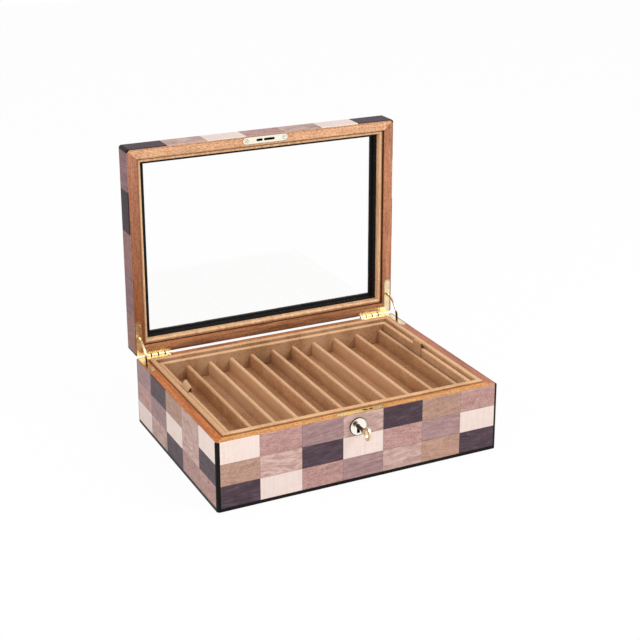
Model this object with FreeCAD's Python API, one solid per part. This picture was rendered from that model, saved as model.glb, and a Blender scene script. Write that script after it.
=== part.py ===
"""Pen collector chest: a parquetry-veneered case with a lift-out tray and a glazed lid.

Millimetres.  +Z is up, the front faces -Y, and the origin is the middle of the underside.
The lid is drawn shut, in its closed place, and turned open about the hinge line at the end.
"""
import FreeCAD
import Part

import math
import os

V = FreeCAD.Vector

# ---- case ------------------------------------------------------------------------------
CASE_W = 300.0            # outside width, veneer to veneer
CASE_D = 220.0            # outside depth
RIM_Z = 71.0              # height of the mahogany rim above the table
FELT_T = 1.0              # baize under the case
FELT_INSET = 3.0
BOARD_T = 10.2            # solid mahogany side
VENEER_T = 0.8
STRING_W = 3.6            # black corner stringing, seen on each face
CORNER_R = 3.0            # rounding of the upright corners
EDGE_R = 0.8              # rounding of the other outside edges
FOOT_BAND_H = 3.5         # black band round the foot
PANEL_T = 5.0             # bottom panel, let into a rabbet
RABBET = 3.0
# ---- suede lining ----------------------------------------------------------------------
LINING_T = 5.0
LINING_RISE = 2.0         # stands above the rim and locates the lid
LINING_ROUND = 1.2
FLOOR_LINING_T = 1.5
REST_T = 6.0              # ledges that carry the tray
REST_TOP = 44.0
# ---- lift-out tray ---------------------------------------------------------------------
TRAY_GAP = 1.2            # tray to lining, all round
TRAY_SEAT_GAP = 0.3
TRAY_FLOOR_T = 3.0
TRAY_WALL_T = 5.0
TRAY_ROUND = 1.6
TRAY_DROP = 1.0           # tray wall below the rim
PEN_SLOTS = (25.0, 20.0, 19.2, 19.2, 20.4, 19.3, 20.1, 21.3, 22.4, 24.7)   # set by hand, in proportion
DIVIDER_END_GAP = 1.6     # last divider to the right wall, for the ribbon
DIVIDER_T = 4.4
DIVIDER_DROP = 7.3        # dividers below the tray wall
RIBBON_W = 13.0
RIBBON_T = 0.6
RIBBON_Y = 14.0           # ribbons sit a little behind the middle
RIBBON_LOOP_R = 2.0
RIBBON_TAIL = 16.0
# ---- lid -------------------------------------------------------------------------------
LID_T = 23.0
LID_GAP = 0.4             # rim to rim when shut
LIP_W = 7.0               # frame that shows over the glass
LIP_T = 3.7
GLASS_T = 4.0
GLASS_PLAY = 0.3
SEAL_T = 5.0
SEAL_W = 6.9
BEAD_W = 4.2
BEAD_H = 6.9
BEAD_STEP = 0.9           # flat quirk beside the half-round
# ---- hinges ----------------------------------------------------------------------------
PIN_OUT = 1.2             # hinge line behind the back face
PIN_UP = 0.2              # and above the rim
PIN_R = 1.0
PIN_FIT = 0.05
KNUCKLE_R = 2.0
KNUCKLE_SPLITS = (27.0, 22.1, 14.4, 7.1, 0.0)   # knuckle edges, from the barrel's inner end
BARREL_INSET = 0.5        # barrel's inner end to the leaf's end
KNUCKLE_GAP = 0.6
KNUCKLE_CLEAR = 0.3       # knuckle to the other leaf
BARREL_RELIEF = 0.3
LEAF_T = 1.5
LEAF_W = 6.4
LEAF_EDGE = 1.8           # leaf's outer edge in from the side face
LEAF_SIDE_L = 38.0
LEAF_BACK_L = 39.0        # along the back, from the side face
STAY_R = 22.0
STAY_W = 2.2
STAY_T = 1.4
STAY_PLAY = 0.35
STAY_HEAD = 0.6           # the ends are this much wider each way
STAY_HEAD_FROM = 5.2      # degrees past the leaf
STAY_HEAD_TO = 8.5
LID_SWING = 90.0
STAY_RATIO = 0.5
SCREW_HEAD_R = 2.15
SCREW_HEAD_T = 1.1
SCREW_R = 1.1
SCREW_L = 9.0
SCREW_SLOT_W = 0.6
SCREW_SLOT_T = 0.5
# ---- lock ------------------------------------------------------------------------------
KEY_DROP = 12.6           # keyhole below the rim
KEY_X = -6.0              # and left of the lock's middle
LOCK_IN = 5.4             # lock's middle plane, in from the front face
PLATE_L = 51.0            # faceplate and strike plate
PLATE_W = 8.0
PLATE_T = 1.5
PLATE_SCREW_X = 21.1
FACE_SLOTS = ((1.4, 7.2), (8.2, 12.8))   # the claw comes up through the first
STRIKE_LONG = (-1.9, 10.3)
STRIKE_SHORT = (-10.3, -3.2)
SLOT_W = 2.6
LOCK_HALF_W = 17.5
LOCK_H = 25.5
LOCK_SKIN = 1.1
LOCK_ROOM = 4.4           # inside depth of the lock case
LOCK_PLAY = 0.2
CLAW_X = -2.5
CLAW_DROP = 3.6           # claw's pivot below the rim
CLAW_R_IN = 5.8
CLAW_R_OUT = 7.8
CLAW_T = 1.6
CLAW_TIP = 14.0           # degrees above level at rest
CLAW_ROOT = -105.0
CLAW_WEB = -83.0
CLAW_HUB_R = 1.9
PIVOT_R = 1.0
POCKET_D = 6.0            # hollow behind the strike plate
KEY_R = 1.8
KEY_FIT = 0.05
KEY_OUT = 14.4            # shank outside the front face
BIT_REACH = 5.6
BIT_T = 1.6
BIT_L = 3.2
BOW_L = 10.8
BOW_H = 13.6
BOW_BAR = 2.7              # width of the bow's ring
BOW_T = 2.2
ROSE_R = 8.9
ROSE_T = 1.7
ROSE_DISH = 0.8
# ---- parquetry: one letter for each tile, seen from outside, left to right ---------------
SPECIES = {"c": "cream", "r": "rose", "m": "mauve", "p": "pink", "d": "dark", "t": "taupe"}
FRONT_TILES = ("crmpdtr", "tpdcrmc", "dcrmptd")
LEFT_TILES = ("mdtpc", "rmcpd", "cpdrr")
BACK_TILES = ("tcdrmpc", "mrptcdp", "pdcmrtc")
RIGHT_TILES = ("rtmcd", "pcdrm", "dmrtp")
LID_FRONT_TILES = "dpcrpcd"
LID_LEFT_TILES = "tmrdm"
LID_BACK_TILES = "cdtmprd"
LID_RIGHT_TILES = "pcdtr"
TOP_FRONT_TILES = "mtdcpmr"
TOP_BACK_TILES = "rcmtdpc"
TOP_LEFT_TILES = "dcmpt"
TOP_RIGHT_TILES = "prtdc"

# ---- places that follow from the sizes ---------------------------------------------------
HALF_W = CASE_W / 2
HALF_D = CASE_D / 2
WALL_T = BOARD_T + VENEER_T
IN_X = HALF_W - WALL_T                  # inner face of the walls
IN_Y = HALF_D - WALL_T
LINED_X = IN_X - LINING_T
LINED_Y = IN_Y - LINING_T
PANEL_TOP = FELT_T + PANEL_T
FLOOR_Z = PANEL_TOP + FLOOR_LINING_T
TRAY_X = LINED_X - TRAY_GAP
TRAY_Y = LINED_Y - TRAY_GAP
TRAY_Z = REST_TOP + TRAY_SEAT_GAP
TRAY_FLOOR_Z = TRAY_Z + TRAY_FLOOR_T
TRAY_TOP = RIM_Z - TRAY_DROP
TRAY_IN_X = TRAY_X - TRAY_WALL_T
TRAY_IN_Y = TRAY_Y - TRAY_WALL_T
DIVIDER_TOP = TRAY_TOP - DIVIDER_DROP
LID_Z = RIM_Z + LID_GAP
LID_TOP = LID_Z + LID_T
GLASS_TOP = LID_TOP - VENEER_T - LIP_T
GLASS_Z = GLASS_TOP - GLASS_T
SEAL_Z = GLASS_Z - SEAL_T
PIN_Y = HALF_D + PIN_OUT
PIN_Z = RIM_Z + PIN_UP
STAY_X = HALF_W - LEAF_EDGE - LEAF_W / 2 + 0.5
LOCK_Y = -HALF_D + LOCK_IN
KEY_Z = RIM_Z - KEY_DROP
CLAW_Z = RIM_Z - CLAW_DROP
LOCK_TOP = RIM_Z - PLATE_T
SIDES = ("front", "back", "left", "right")


# ---- small tools -------------------------------------------------------------------------
def box(x0, y0, z0, x1, y1, z1):
    """Box between two corners, given in any order."""
    low = V(min(x0, x1), min(y0, y1), min(z0, z1))
    return Part.makeBox(abs(x1 - x0), abs(y1 - y0), abs(z1 - z0), low)


def prism(points, z0, z1):
    """Upright prism on a closed outline of (x, y) points."""
    ring = [V(x, y, z0) for x, y in points]
    return Part.Face(Part.makePolygon(ring + ring[:1])).extrude(V(0, 0, z1 - z0))


def rod(radius, start, end):
    """Round bar between two points."""
    return Part.makeCylinder(radius, (end - start).Length, start, end - start)


def fuse(shapes):
    """One clean solid from touching shapes."""
    whole = shapes[0].multiFuse(shapes[1:]).removeSplitter()
    return whole.Solids[0] if len(whole.Solids) == 1 else whole


def cut(shape, tools):
    """The shape less its tools, as a plain solid where one is left."""
    left = shape.cut(list(tools)) if tools else shape
    return left.Solids[0] if len(left.Solids) == 1 else left


def frame_side(side, out_x, out_y, width, z0, z1):
    """One mitred bar of a rectangular frame, measured in from its outside."""
    in_x, in_y = out_x - width, out_y - width
    outlines = {
        "front": [(-out_x, -out_y), (out_x, -out_y), (in_x, -in_y), (-in_x, -in_y)],
        "back": [(-out_x, out_y), (out_x, out_y), (in_x, in_y), (-in_x, in_y)],
        "left": [(-out_x, -out_y), (-out_x, out_y), (-in_x, in_y), (-in_x, -in_y)],
        "right": [(out_x, -out_y), (out_x, out_y), (in_x, in_y), (in_x, -in_y)],
    }
    return prism(outlines[side], z0, z1)


def round_top(solid, radius, z_top, side):
    """Rounds the two long top edges of a frame bar."""
    run = V(1, 0, 0) if side in ("front", "back") else V(0, 1, 0)
    long_edges = []
    for edge in solid.Edges:
        ends = [v.Point for v in edge.Vertexes]
        if len(ends) == 2 and all(abs(p.z - z_top) < 1e-6 for p in ends):
            if abs((ends[1] - ends[0]).normalize().dot(run)) > 0.999:
                long_edges.append(edge)
    return solid.makeFillet(radius, long_edges)


def sector(centre, r_in, r_out, deg_from, deg_to, plane, half_t):
    """Flat ring sector of thickness 2 * half_t; plane 'yz' is seen along X, 'xz' along Y."""
    across = V(1, 0, 0) if plane == "yz" else V(0, 1, 0)

    def at(radius, deg):
        c, s = radius * math.cos(math.radians(deg)), radius * math.sin(math.radians(deg))
        turn = V(0, -c, s) if plane == "yz" else V(c, 0, s)
        return centre + turn - across * half_t

    mid = (deg_from + deg_to) / 2
    outline = [Part.Arc(at(r_out, deg_from), at(r_out, mid), at(r_out, deg_to)).toShape()]
    outline.append(Part.makeLine(at(r_out, deg_to), at(r_in, deg_to)))
    outline.append(Part.Arc(at(r_in, deg_to), at(r_in, mid), at(r_in, deg_from)).toShape())
    outline.append(Part.makeLine(at(r_in, deg_from), at(r_out, deg_from)))
    return Part.Face(Part.Wire(outline)).extrude(across * (2 * half_t))


def rounded_block(z0, z1, edges_at):
    """The chest's outside between two heights, rounded at its corners and at the given edges."""
    block = box(-HALF_W, -HALF_D, z0, HALF_W, HALF_D, z1)
    upright = [e for e in block.Edges if abs(e.Vertexes[0].Z - e.Vertexes[1].Z) > 1]
    block = block.makeFillet(CORNER_R, upright)
    level = [e for e in block.Edges
             if any(all(abs(v.Z - z) < 1e-6 for v in e.Vertexes) for z in edges_at)]
    return block.makeFillet(EDGE_R, level) if level else block


def shaped(solids, block):
    """Solids trimmed to the chest's rounded outside."""
    return [s for solid in solids for s in solid.common(block).Solids]


def rounded_bar(x0, x1, y_mid, width, z0, z1):
    """Flat bar along X with half-round ends."""
    r = width / 2
    body = box(x0 + r, y_mid - r, z0, x1 - r, y_mid + r, z1)
    ends = [Part.makeCylinder(r, z1 - z0, V(x, y_mid, z0)) for x in (x0 + r, x1 - r)]
    return fuse([body] + ends)


def screw(x, y, z_face, up):
    """Countersunk slotted screw whose head is flush with z_face and points up (+1) or down."""
    head = Part.makeCone(SCREW_HEAD_R, SCREW_R, SCREW_HEAD_T, V(x, y, z_face), V(0, 0, -up))
    shank = Part.makeCylinder(SCREW_R, SCREW_L - SCREW_HEAD_T,
                              V(x, y, z_face - up * SCREW_HEAD_T), V(0, 0, -up))
    return fuse([head, shank])


def slotted(blank, x, y, z_face, up, deg):
    """The same screw with its driver slot cut, turned by deg."""
    slot = box(x - SCREW_HEAD_R, y - SCREW_SLOT_W / 2, z_face,
               x + SCREW_HEAD_R, y + SCREW_SLOT_W / 2, z_face - up * SCREW_SLOT_T)
    slot.rotate(V(x, y, z_face), V(0, 0, 1), deg)
    return cut(blank, [slot])


def opened(shape):
    """Turns a piece of the shut lid about the hinge line to where it rests, open."""
    turned = shape.copy()
    turned.rotate(V(0, PIN_Y, PIN_Z), V(-1, 0, 0), LID_SWING)
    return turned


# ---- hinges: quadrant leaves, pins and curved stays --------------------------------------
def leaf_outline(sign, z0):
    """L-shaped leaf let into the rim at one back corner; z0 is its lower face."""
    outer = sign * (HALF_W - LEAF_EDGE)
    inner = outer - sign * LEAF_W
    r = LEAF_W / 2
    end_y = HALF_D - LEAF_SIDE_L + r
    back_y = HALF_D - LEAF_W
    end_x = sign * (HALF_W - LEAF_BACK_L)
    side = box(outer, end_y, z0, inner, HALF_D, z0 + LEAF_T)
    nose = Part.makeCylinder(r, LEAF_T, V((outer + inner) / 2, end_y, z0))
    back = box(outer, back_y, z0, end_x, HALF_D, z0 + LEAF_T)
    tip = [e for e in back.Edges
           if all(abs(v.X - end_x) + abs(v.Y - back_y) < 1e-6 for v in e.Vertexes)]
    back = back.makeFillet(r - 0.1, tip)
    return shaped([fuse([side, nose, back])], rounded_block(z0, z0 + LEAF_T, []))[0]


def knuckle_spans(sign):
    """Start and end of each knuckle along X, from the barrel's inner end outwards."""
    edges = [sign * (HALF_W - LEAF_BACK_L + BARREL_INSET + s) for s in KNUCKLE_SPLITS]
    return list(zip(edges[1:], edges[:-1]))[::-1]


def barrel(x0, x1, radius, extra=0.0):
    """Bar on the hinge line between two places, longer by extra at each end."""
    low, high = min(x0, x1) - extra, max(x0, x1) + extra
    return rod(radius, V(low, PIN_Y, PIN_Z), V(high, PIN_Y, PIN_Z))


def stay_slot(sign, z0, z1, play):
    """Opening for the curved stay, cut through a leaf."""
    half_w = STAY_W / 2 + play
    return box(sign * STAY_X - STAY_T / 2 - play, PIN_Y - STAY_R - half_w, z0,
               sign * STAY_X + STAY_T / 2 + play, PIN_Y - STAY_R + half_w, z1)


def leaf(sign, z0, own):
    """Finished leaf: plate, its own knuckles, pin bore, stay slot and screw seats."""
    spans = knuckle_spans(sign)
    mine = [s for i, s in enumerate(spans) if (i % 2 == 0) == own]
    others = [s for i, s in enumerate(spans) if (i % 2 == 0) != own]
    shapes = [leaf_outline(sign, z0)]
    for x0, x1 in mine:
        inset = KNUCKLE_GAP / 2 * (1 if x1 > x0 else -1)
        a, b = x0 + inset, x1 - inset
        shapes.append(barrel(a, b, KNUCKLE_R))
        shapes.append(box(a, HALF_D - LEAF_W / 2, z0, b, PIN_Y, z0 + LEAF_T))
    tools = [barrel(x0, x1, KNUCKLE_R + KNUCKLE_CLEAR, KNUCKLE_GAP / 2) for x0, x1 in others]
    whole = spans[0] + spans[-1]
    tools.append(barrel(min(whole), max(whole), PIN_R + PIN_FIT, 5.0))
    tools.append(stay_slot(sign, z0 - 1, z0 + LEAF_T + 1, STAY_PLAY))
    return cut(fuse(shapes), tools)


def leaf_screw_spots(sign):
    """Screws near the two ends of a leaf."""
    side = (sign * (HALF_W - LEAF_EDGE - LEAF_W / 2), HALF_D - LEAF_SIDE_L + LEAF_W / 2)
    back = (sign * (HALF_W - LEAF_BACK_L + LEAF_W / 2), HALF_D - LEAF_W / 2)
    return side, back


def hinge_pin(sign):
    """Pin through one barrel."""
    spans = knuckle_spans(sign)
    xs = spans[0] + spans[-1]
    return barrel(min(xs) + KNUCKLE_GAP / 2, max(xs) - KNUCKLE_GAP / 2, PIN_R)


def stay(sign):
    """Curved flat bar concentric with the hinge line, wider at both ends."""
    centre = V(sign * STAY_X, PIN_Y, PIN_Z)
    half = STAY_T / 2
    r_in, r_out = STAY_R - STAY_W / 2, STAY_R + STAY_W / 2
    arc = sector(centre, r_in, r_out, -STAY_HEAD_TO, LID_SWING + STAY_HEAD_TO, "yz", half)
    foot = sector(centre, r_in - STAY_HEAD, r_out + STAY_HEAD,
                  -STAY_HEAD_TO, -STAY_HEAD_FROM, "yz", half)
    top = sector(centre, r_in - STAY_HEAD, r_out + STAY_HEAD,
                 LID_SWING + STAY_HEAD_FROM, LID_SWING + STAY_HEAD_TO, "yz", half)
    return fuse([arc, foot, top])


def stay_mortise(sign):
    """Room for a stay in the wood below the rim, from the leaf down to where it reaches shut."""
    centre = V(sign * STAY_X, PIN_Y, PIN_Z)
    play = STAY_HEAD + STAY_PLAY + 0.15
    reach = LID_SWING * STAY_RATIO + STAY_HEAD_TO + 3
    return sector(centre, STAY_R - STAY_W / 2 - play, STAY_R + STAY_W / 2 + play,
                  -reach, 2.0, "yz", STAY_T / 2 + STAY_PLAY)


def lid_stay_mortise(sign):
    """The same room above the rim, in the shut lid."""
    room = stay_mortise(sign)
    return room.mirror(V(0, 0, PIN_Z), V(0, 0, 1))


# ---- lock: plates, claw, key -------------------------------------------------------------
def keyhole(grow, y0, y1):
    """Round hole with a flared slot under it, along Y."""
    r = KEY_R + 0.4 + grow
    top_w, foot_w = BIT_T / 2 + 0.4 + grow, BIT_T / 2 + 0.9 + grow
    low = KEY_Z - BIT_REACH - 1.0 - grow
    ring = [V(KEY_X - top_w, y0, KEY_Z), V(KEY_X + top_w, y0, KEY_Z),
            V(KEY_X + foot_w, y0, low), V(KEY_X - foot_w, y0, low)]
    slot = Part.Face(Part.makePolygon(ring + ring[:1])).extrude(V(0, y1 - y0, 0))
    return fuse([rod(r, V(KEY_X, y0, KEY_Z), V(KEY_X, y1, KEY_Z)), slot])


def plate_slot(span, z0, z1):
    """Round-ended slot along X on the lock's middle plane."""
    return rounded_bar(span[0], span[1], LOCK_Y, SLOT_W, z0, z1)


def lock_room():
    """Mortise for the lock case in the front wall."""
    deep = LOCK_ROOM / 2 + LOCK_SKIN + LOCK_PLAY
    return box(-LOCK_HALF_W - LOCK_PLAY, LOCK_Y - deep, LOCK_TOP - LOCK_H - LOCK_PLAY,
               LOCK_HALF_W + LOCK_PLAY, LOCK_Y + deep, LOCK_TOP)


def lock_case():
    """Open-fronted lock case with the claw's pivot post and the key's bearing."""
    back = LOCK_Y + LOCK_ROOM / 2
    front = LOCK_Y - LOCK_ROOM / 2
    shell = box(-LOCK_HALF_W, front, LOCK_TOP - LOCK_H, LOCK_HALF_W, back + LOCK_SKIN, LOCK_TOP)
    room = box(-LOCK_HALF_W + LOCK_SKIN, front, LOCK_TOP - LOCK_H + LOCK_SKIN,
               LOCK_HALF_W - LOCK_SKIN, back, LOCK_TOP)
    bearing = rod(KEY_R + KEY_FIT, V(KEY_X, back - 1, KEY_Z), V(KEY_X, back + LOCK_SKIN + 1, KEY_Z))
    post = rod(PIVOT_R, V(CLAW_X, front, CLAW_Z), V(CLAW_X, back, CLAW_Z))
    return fuse([cut(shell, [room, bearing]), post])


def lock_cover():
    """Front plate of the lock case, with the keyhole."""
    front = LOCK_Y - LOCK_ROOM / 2
    plate = box(-LOCK_HALF_W, front - LOCK_SKIN, LOCK_TOP - LOCK_H, LOCK_HALF_W, front, LOCK_TOP)
    return cut(plate, [keyhole(0.0, front - LOCK_SKIN - 1, front + 1)])


def hook_claw():
    """Ring-shaped claw on a pivot: it turns up through the faceplate and over the strike's bridge."""
    pivot = V(CLAW_X, LOCK_Y, CLAW_Z)
    half = CLAW_T / 2
    claw = sector(pivot, CLAW_R_IN, CLAW_R_OUT, CLAW_ROOT, CLAW_TIP, "xz", half)
    web = sector(pivot, CLAW_HUB_R - 0.3, CLAW_R_IN + 0.5, CLAW_ROOT, CLAW_WEB, "xz", half)
    hub = rod(CLAW_HUB_R, pivot - V(0, half, 0), pivot + V(0, half, 0))
    bore = rod(PIVOT_R + PIN_FIT, pivot - V(0, half + 1, 0), pivot + V(0, half + 1, 0))
    return cut(fuse([claw, web, hub]), [bore])


def lock_plate_blank(z0):
    """Faceplate or strike plate blank with round ends."""
    return rounded_bar(-PLATE_L / 2, PLATE_L / 2, LOCK_Y, PLATE_W, z0, z0 + PLATE_T)


def escutcheon():
    """Dished round rose with a rolled edge."""
    y = -HALF_D
    roll = ROSE_T / 2

    def at(radius, out):
        return V(KEY_X + radius, y - out, KEY_Z)

    profile = [
        Part.makeLine(at(0, 0), at(ROSE_R - 0.2, 0)),
        Part.Arc(at(ROSE_R - 0.2, 0), at(ROSE_R, roll), at(ROSE_R - roll, ROSE_T)).toShape(),
        Part.Arc(at(ROSE_R - roll, ROSE_T), at(ROSE_R - 3.0, ROSE_DISH + 0.45),
                 at(ROSE_R - 5.0, ROSE_DISH)).toShape(),
        Part.makeLine(at(ROSE_R - 5.0, ROSE_DISH), at(0, ROSE_DISH)),
        Part.makeLine(at(0, ROSE_DISH), at(0, 0)),
    ]
    rose = Part.Face(Part.Wire(profile)).revolve(at(0, 0), V(0, 1, 0), 360)
    return cut(rose.Solids[0] if rose.Solids else Part.Solid(rose), [keyhole(0.0, y - 5, y + 1)])


def key():
    """Solid-shank key: bit in the lock, two collars and a pierced oval bow outside."""
    tip = LOCK_Y + LOCK_ROOM / 2 + LOCK_SKIN - 0.2
    bow_start = -HALF_D - KEY_OUT
    shank = rod(KEY_R, V(KEY_X, tip, KEY_Z), V(KEY_X, bow_start - 1.5, KEY_Z))
    bit_y = LOCK_Y - BIT_L / 2
    bit = box(KEY_X - BIT_T / 2, bit_y, KEY_Z - BIT_REACH, KEY_X + BIT_T / 2, bit_y + BIT_L, KEY_Z)
    collar_y = -HALF_D - KEY_OUT + 3.2
    starts = [collar_y - 2.4 * i for i in range(2)]
    collars = [rod(KEY_R + 0.8, V(KEY_X, c, KEY_Z), V(KEY_X, c - 1.2, KEY_Z)) for c in starts]
    mid = V(KEY_X, bow_start - BOW_L / 2, KEY_Z)

    def oval(along, upward, half_t):
        long_r, short_r = max(along, upward), min(along, upward)
        place = V(KEY_X - half_t, mid.y, mid.z)
        edge = Part.Ellipse(place, long_r, short_r).toShape()
        edge.rotate(place, V(0, 0, 1), 90)
        edge.rotate(place, V(0, 1, 0), 90)
        if upward > along:
            edge.rotate(place, V(1, 0, 0), 90)
        return Part.Face(Part.Wire([edge])).extrude(V(2 * half_t, 0, 0))

    bow = oval(BOW_L / 2, BOW_H / 2, BOW_T / 2)
    eye = oval(BOW_L / 2 - BOW_BAR, BOW_H / 2 - BOW_BAR, BOW_T / 2 + 1)
    return fuse([shank, bit, cut(bow, [eye])] + collars)


# ---- case --------------------------------------------------------------------------------
def posts(z0, z1):
    """Strips at the four upright corners, their inner arris planed off between the veneers."""
    wide, thin = STRING_W, VENEER_T
    inward = [(0, 0), (wide, 0), (wide, thin), (thin, wide), (0, wide)]
    return [prism([(i * (HALF_W - a), j * (HALF_D - b)) for a, b in inward], z0, z1)
            for i in (-1, 1) for j in (-1, 1)]


def relief(sign):
    """Room round a barrel and its leaf, for wood and veneer alike."""
    spans = knuckle_spans(sign)
    xs = spans[0] + spans[-1]
    return barrel(min(xs), max(xs), KNUCKLE_R + BARREL_RELIEF, BARREL_RELIEF)


def case_leaf_seats():
    """Everything the hinges take out of the rim's top."""
    seats = []
    for sign in (-1, 1):
        seats += [leaf_outline(sign, RIM_Z - LEAF_T), relief(sign), stay_mortise(sign)]
    return seats


def case_screw_spots():
    """Every countersunk screw in the case: place, face height, slot angle."""
    spots = [(x, y, 25.0 * (i + 1)) for s in (-1, 1) for i, (x, y) in enumerate(leaf_screw_spots(s))]
    spots += [(s * PLATE_SCREW_X, LOCK_Y, 60.0 * s) for s in (-1, 1)]
    return spots


def walls():
    """Four mitred mahogany sides, rabbeted for the bottom and cut for hinges and lock."""
    bottom = box(-IN_X - RABBET, -IN_Y - RABBET, 0, IN_X + RABBET, IN_Y + RABBET, PANEL_TOP)
    lock = [lock_room(), lock_plate_blank(RIM_Z - PLATE_T),
            keyhole(0.8, -HALF_D - 1, LOCK_Y)]
    screws = [screw(x, y, RIM_Z, 1) for x, y, _ in case_screw_spots()]
    made = {}
    for side in SIDES:
        bar = frame_side(side, HALF_W - VENEER_T, HALF_D - VENEER_T, BOARD_T, FELT_T, RIM_Z)
        made[side + "_wall"] = cut(bar, [bottom] + posts(0, RIM_Z) + case_leaf_seats() + lock + screws)
    return made


def seams(half, count):
    """Tile edges along a face: equal tiles, the end ones cut by the corner strings."""
    inner = [2 * half * k / count - half for k in range(1, count)]
    return [-half + STRING_W] + inner + [half - STRING_W]


def face_tiles(rows, z_edges, half, place, groups):
    """Adds one thin block per letter; place(a0, a1, z0, z1) puts it on its face."""
    for r, letters in enumerate(rows):
        edges = seams(half, len(letters))
        for c, letter in enumerate(letters):
            groups[letter].append(place(edges[c], edges[c + 1], z_edges[r + 1], z_edges[r]))


def side_places(z_tools):
    """How a tile spanning a0..a1 from the left lies on each face, seen from outside."""
    w, d, t = HALF_W, HALF_D, VENEER_T
    return {
        "front": lambda a0, a1, z0, z1: cut(box(a0, -d, z0, a1, -d + t, z1), z_tools),
        "back": lambda a0, a1, z0, z1: cut(box(-a0, d, z0, -a1, d - t, z1), z_tools),
        "left": lambda a0, a1, z0, z1: cut(box(-w, -a0, z0, -w + t, -a1, z1), z_tools),
        "right": lambda a0, a1, z0, z1: cut(box(w, a0, z0, w - t, a1, z1), z_tools),
    }


def case_veneer():
    """Parquetry on the four faces of the case, grouped by wood."""
    groups = {letter: [] for letter in SPECIES}
    low = FELT_T + FOOT_BAND_H
    z_edges = [RIM_Z - (RIM_Z - low) * k / len(FRONT_TILES) for k in range(len(FRONT_TILES) + 1)]
    tools = [leaf_outline(s, RIM_Z - LEAF_T) for s in (-1, 1)] + [relief(s) for s in (-1, 1)]
    tools.append(keyhole(0.8, -HALF_D - 1, -HALF_D + VENEER_T + 1))
    places = side_places(tools)
    for side, rows, half in (("front", FRONT_TILES, HALF_W), ("back", BACK_TILES, HALF_W),
                             ("left", LEFT_TILES, HALF_D), ("right", RIGHT_TILES, HALF_D)):
        face_tiles(rows, z_edges, half, places[side], groups)
    block = rounded_block(FELT_T, RIM_Z, [RIM_Z])
    return {"case_veneer_" + SPECIES[k]: Part.makeCompound(shaped(v, block)) for k, v in groups.items()}


def foot_bands():
    """Black band round the foot, between the corner strings."""
    z0, z1 = FELT_T, FELT_T + FOOT_BAND_H
    x, y = HALF_W - STRING_W, HALF_D - STRING_W
    bands = [box(-x, s * HALF_D, z0, x, s * (HALF_D - VENEER_T), z1) for s in (-1, 1)]
    bands += [box(s * HALF_W, -y, z0, s * (HALF_W - VENEER_T), y, z1) for s in (-1, 1)]
    return Part.makeCompound(bands)


def linings():
    """Suede-covered boards that line the case and stand above its rim."""
    top = RIM_Z + LINING_RISE
    made = {}
    for side in SIDES:
        bar = frame_side(side, IN_X, IN_Y, LINING_T, FLOOR_Z, top)
        made[side + "_lining"] = round_top(bar, LINING_ROUND, top, side)
    made["floor_lining"] = box(-IN_X, -IN_Y, PANEL_TOP, IN_X, IN_Y, FLOOR_Z)
    for name, sign in (("left", -1), ("right", 1)):
        made[name + "_tray_rest"] = box(sign * LINED_X, -LINED_Y, FLOOR_Z,
                                        sign * (LINED_X - REST_T), LINED_Y, REST_TOP)
    return made


def case_pieces():
    """The fixed body of the chest."""
    made = walls()
    made.update(linings())
    made.update(case_veneer())
    reach_x, reach_y = IN_X + RABBET, IN_Y + RABBET
    made["base_panel"] = box(-reach_x, -reach_y, FELT_T, reach_x, reach_y, PANEL_TOP)
    made["base_felt"] = box(-HALF_W + FELT_INSET, -HALF_D + FELT_INSET, 0,
                            HALF_W - FELT_INSET, HALF_D - FELT_INSET, FELT_T)
    seats = case_leaf_seats()
    corners = shaped(posts(FELT_T, RIM_Z), rounded_block(FELT_T, RIM_Z, [RIM_Z]))
    made["case_corner_stringing"] = Part.makeCompound([cut(p, seats) for p in corners])
    made["case_foot_stringing"] = foot_bands()
    made["lock_case"] = lock_case()
    made["lock_cover"] = lock_cover()
    plate_screws = [screw(s * PLATE_SCREW_X, LOCK_Y, RIM_Z, 1) for s in (-1, 1)]
    slots = [plate_slot(span, RIM_Z - PLATE_T - 1, RIM_Z + 1) for span in FACE_SLOTS]
    made["lock_faceplate"] = cut(lock_plate_blank(RIM_Z - PLATE_T), plate_screws + slots)
    made["escutcheon"] = escutcheon()
    for name, sign in (("left", -1), ("right", 1)):
        seat_screws = [screw(x, y, RIM_Z, 1) for x, y in leaf_screw_spots(sign)]
        made[name + "_case_hinge_leaf"] = cut(leaf(sign, RIM_Z - LEAF_T, True), seat_screws)
    made["hinge_pins"] = Part.makeCompound([hinge_pin(s) for s in (-1, 1)])
    made["case_screws"] = Part.makeCompound(
        [slotted(screw(x, y, RIM_Z, 1), x, y, RIM_Z, 1, deg) for x, y, deg in case_screw_spots()])
    return made


# ---- tray --------------------------------------------------------------------------------
def divider(x):
    """Suede-covered divider with a full-round top, across the tray."""
    half = DIVIDER_T / 2
    y0 = -TRAY_IN_Y
    shoulder = DIVIDER_TOP - half
    outline = [
        Part.makeLine(V(x - half, y0, shoulder), V(x - half, y0, TRAY_FLOOR_Z)),
        Part.makeLine(V(x - half, y0, TRAY_FLOOR_Z), V(x + half, y0, TRAY_FLOOR_Z)),
        Part.makeLine(V(x + half, y0, TRAY_FLOOR_Z), V(x + half, y0, shoulder)),
        Part.Arc(V(x + half, y0, shoulder), V(x, y0, DIVIDER_TOP), V(x - half, y0, shoulder)).toShape(),
    ]
    return Part.Face(Part.Wire(outline)).extrude(V(0, 2 * TRAY_IN_Y, 0))


def divider_places():
    """Middle of each divider: a slot lies left of each, and the slots share the tray's width."""
    count = len(PEN_SLOTS)
    room = 2 * TRAY_IN_X - DIVIDER_END_GAP - count * DIVIDER_T
    widths = [room * w / sum(PEN_SLOTS) for w in PEN_SLOTS]
    return [-TRAY_IN_X + sum(widths[:i + 1]) + DIVIDER_T * (i + 0.5) for i in range(count)]


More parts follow.
